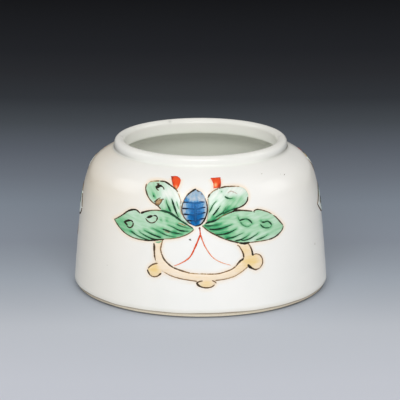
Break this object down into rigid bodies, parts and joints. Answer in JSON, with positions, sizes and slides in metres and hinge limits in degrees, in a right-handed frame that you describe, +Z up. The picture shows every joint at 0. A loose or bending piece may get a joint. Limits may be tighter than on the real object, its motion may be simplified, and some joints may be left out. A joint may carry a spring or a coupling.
{
  "type": "porcelain water coupe",
  "caption": "Squat round porcelain water pot for a writing desk, with a rolled lip, sloping shoulder, turned foot and painted enamel butterflies.",
  "frame": {"origin": "centre of the foot, on the table", "axes": "+Z up along the pot's axis, -Y out through the butterfly at the front, +X to the right as seen from the front"},
  "size_m": [0.088, 0.088, 0.0515],
  "materials": {
    "porcelain": "matt, bare",
    "clear_glaze": "gloss",
    "green_enamel": "gloss",
    "blue_enamel": "gloss",
    "red_enamel": "satin",
    "yellow_enamel": "gloss",
    "line_pigment": "satin"
  },
  "bodies": {
    "root": {"porcelain_body": "porcelain", "outer_glaze": "clear_glaze", "inner_glaze": "clear_glaze", "base_glaze": "clear_glaze", "front_left_forewing": "green_enamel", "front_right_forewing": "green_enamel", "front_left_hindwing": "green_enamel", "front_right_hindwing": "green_enamel", "front_abdomen": "blue_enamel", "front_antennae": "red_enamel", "front_garland": "yellow_enamel", "front_tendrils": "red_enamel", "front_lines": "line_pigment", "right_left_forewing": "green_enamel", "right_right_forewing": "green_enamel", "right_left_hindwing": "green_enamel", "right_right_hindwing": "green_enamel", "right_abdomen": "blue_enamel", "right_antennae": "red_enamel", "right_garland": "yellow_enamel", "right_tendrils": "red_enamel", "right_lines": "line_pigment", "left_left_forewing": "green_enamel", "left_right_forewing": "green_enamel", "left_left_hindwing": "green_enamel", "left_right_hindwing": "green_enamel", "left_abdomen": "blue_enamel", "left_antennae": "red_enamel", "left_garland": "yellow_enamel", "left_tendrils": "red_enamel", "left_lines": "line_pigment"}
  },
  "joints": []
}
